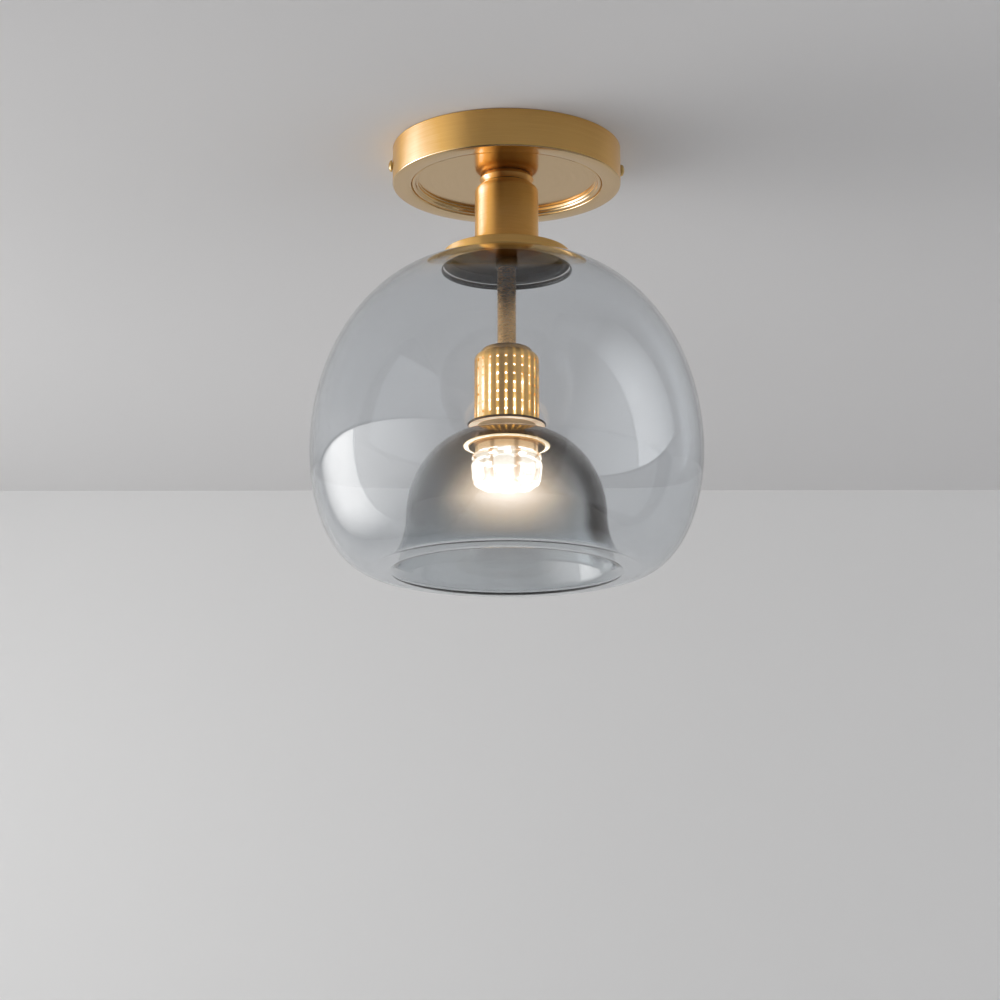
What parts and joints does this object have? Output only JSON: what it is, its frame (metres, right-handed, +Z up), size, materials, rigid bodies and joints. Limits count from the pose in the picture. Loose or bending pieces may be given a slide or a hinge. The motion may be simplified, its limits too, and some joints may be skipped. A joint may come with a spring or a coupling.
{
  "type": "glass ceiling light",
  "caption": "Semi-flush ceiling light with a brushed brass canopy and neck, and a smoke glass globe whose bottom turns in as a second glass dome over a lit lamp module.",
  "frame": {"origin": "centre of the ceiling contact plane, on the lamp's axis", "axes": "+Z up along the lamp's axis, +X along the mounting bar, -Y towards the front"},
  "size_m": [0.2026, 0.2026, 0.2276],
  "materials": {
    "steel": "zinc plated steel",
    "plain_brass": "plain brass",
    "white_plastic": "moulded plastic",
    "brown_insulation": "lead insulation",
    "blue_insulation": "lead insulation",
    "green_insulation": "lead insulation",
    "red_insulation": "lead insulation",
    "black_insulation": "lead insulation",
    "brushed_brass": "brushed round the axis",
    "screw_brass": "turned",
    "neck_brass": "turned and brushed",
    "cap_brass": "spun and brushed",
    "dark_rubber": "soft ring",
    "blackened_steel": "blackened",
    "stem_brass": "darker drawn tube",
    "holder_brass": "turned and polished",
    "diffuser_plastic": "translucent, lit from the lamp module",
    "ceramic": "glazed ceramic",
    "pale_silicone": "soft ring each side of the glass",
    "smoke_glass": "smoke grey blown glass",
    "smoke_glass_dome": "smoke grey blown glass, one piece with the globe",
    "module_brass": "turned",
    "clear_ring": "clear, glows at its edge",
    "board_white": "white circuit board",
    "led_phosphor": "lit",
    "crystal": "clear fluted crystal"
  },
  "bodies": {
    "fixture": {"mounting_bar": "steel", "earth_screw": "plain_brass", "terminal_block": "white_plastic", "terminal_screws": "steel", "led_driver": "white_plastic", "mains_live_lead": "brown_insulation", "mains_neutral_lead": "blue_insulation", "earth_lead": "green_insulation", "led_lead_positive": "red_insulation", "led_lead_negative": "black_insulation", "canopy": "brushed_brass", "nipple": "steel", "nipple_nut": "steel", "lock_washer": "steel", "neck": "neck_brass", "shade_cap": "cap_brass", "mouth_ring": "dark_rubber", "stem_collar": "blackened_steel", "stem": "stem_brass", "stem_nut": "steel", "holder_cap": "holder_brass", "holder_sleeve": "holder_brass", "sleeve_liner": "diffuser_plastic", "lamp_socket": "ceramic", "socket_contacts": "plain_brass", "flange_ring": "holder_brass", "upper_gasket": "pale_silicone"},
    "left_screw": {"side_screw_left": "screw_brass"},
    "right_screw": {"side_screw_right": "screw_brass"},
    "shade": {"globe_mouth": "smoke_glass", "globe_shoulder": "smoke_glass", "globe_belly": "smoke_glass", "globe_bottom": "smoke_glass", "dome_crown": "smoke_glass_dome", "dome_wall": "smoke_glass_dome", "dome_skirt": "smoke_glass_dome"},
    "lamp_module": {"lower_gasket": "pale_silicone", "module_housing": "module_brass", "glow_ring": "clear_ring", "led_board": "board_white", "led_chips": "led_phosphor", "crystal_lens": "crystal"}
  },
  "joints": [
    {"name": "left_screw_out", "type": "slide", "parent": "fixture", "child": "left_screw", "axis": [-1, 0, 0], "range_m": [0, 0.007]},
    {"name": "right_screw_out", "type": "slide", "parent": "fixture", "child": "right_screw", "axis": [1, 0, 0], "range_m": [0, 0.007]},
    {"name": "shade_lower", "type": "slide", "parent": "fixture", "child": "shade", "axis": [0, 0, -1], "range_m": [0, 0.006]},
    {"name": "module_unscrew", "type": "hinge", "parent": "shade", "child": "lamp_module", "pos_m": [0, 0, -0.161], "axis": [0, 0, -1], "range_deg": [0, 1080]}
  ],
  "couplings": [
    {"joint": "module_unscrew", "follows": "shade_lower", "rad_per_m": 3141.6}
  ]
}
